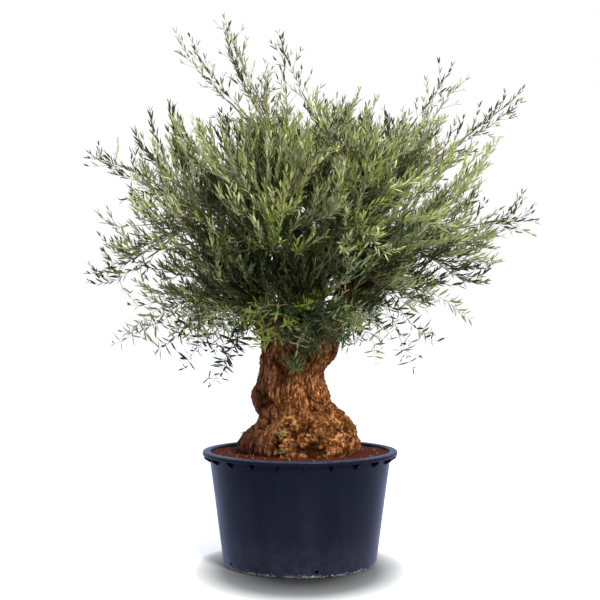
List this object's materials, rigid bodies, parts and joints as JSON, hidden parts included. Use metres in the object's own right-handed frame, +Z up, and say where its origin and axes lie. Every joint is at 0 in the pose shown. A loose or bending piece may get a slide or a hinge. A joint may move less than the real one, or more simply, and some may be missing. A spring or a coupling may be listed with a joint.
{
  "type": "potted olive tree",
  "caption": "Old evergreen tree with a thick fluted trunk and a wide, wispy crown of narrow leaves, in a round black nursery pot with a flanged rim.",
  "frame": {"origin": "middle of the pot's flat underside, on the ground", "axes": "+Z up the trunk, -Y the front, +X to the right of someone who stands in front"},
  "size_m": [2.31, 2.1218, 2.83],
  "materials": {
    "pot_plastic": "satin navy-black",
    "soil": "moist reddish-brown potting soil",
    "bark": "rough fibrous bark",
    "foliage": "dull olive green leaves"
  },
  "bodies": {
    "root": {"pot": "pot_plastic", "soil": "soil", "trunk": "bark", "bough_right": "bark", "bough_back_right": "bark", "bough_back": "bark", "bough_back_left": "bark", "bough_left": "bark", "bough_front_left": "bark", "bough_front": "bark", "bough_front_right": "bark", "bough_upper_right": "bark", "bough_upper_back": "bark", "bough_upper_left": "bark", "bough_upper_front": "bark", "mass_low_1": "foliage", "mass_low_2": "foliage", "mass_low_3": "foliage", "mass_low_4": "foliage", "mass_low_5": "foliage", "mass_low_6": "foliage", "mass_low_7": "foliage", "mass_middle_1": "foliage", "mass_middle_2": "foliage", "mass_middle_3": "foliage", "mass_middle_4": "foliage", "mass_middle_5": "foliage", "mass_middle_6": "foliage", "mass_middle_7": "foliage", "mass_middle_8": "foliage", "mass_high_1": "foliage", "mass_high_2": "foliage", "mass_high_3": "foliage", "mass_high_4": "foliage", "mass_high_5": "foliage", "mass_high_6": "foliage", "mass_high_7": "foliage", "mass_upper_1": "foliage", "mass_upper_2": "foliage", "mass_upper_3": "foliage", "mass_upper_4": "foliage", "mass_top": "foliage", "mass_spire": "foliage", "mass_spray_top_left": "foliage", "mass_spray_top": "foliage", "mass_spray_top_right": "foliage", "mass_spray_top_back": "foliage", "mass_spray_upper_right": "foliage", "mass_spray_right": "foliage", "mass_spray_left": "foliage", "mass_spray_lower_left": "foliage", "mass_spray_front": "foliage", "mass_spray_back": "foliage", "mass_hanging_left": "foliage", "mass_hanging_low_left": "foliage", "mass_hanging_right": "foliage", "mass_hanging_low_right": "foliage"}
  },
  "joints": []
}
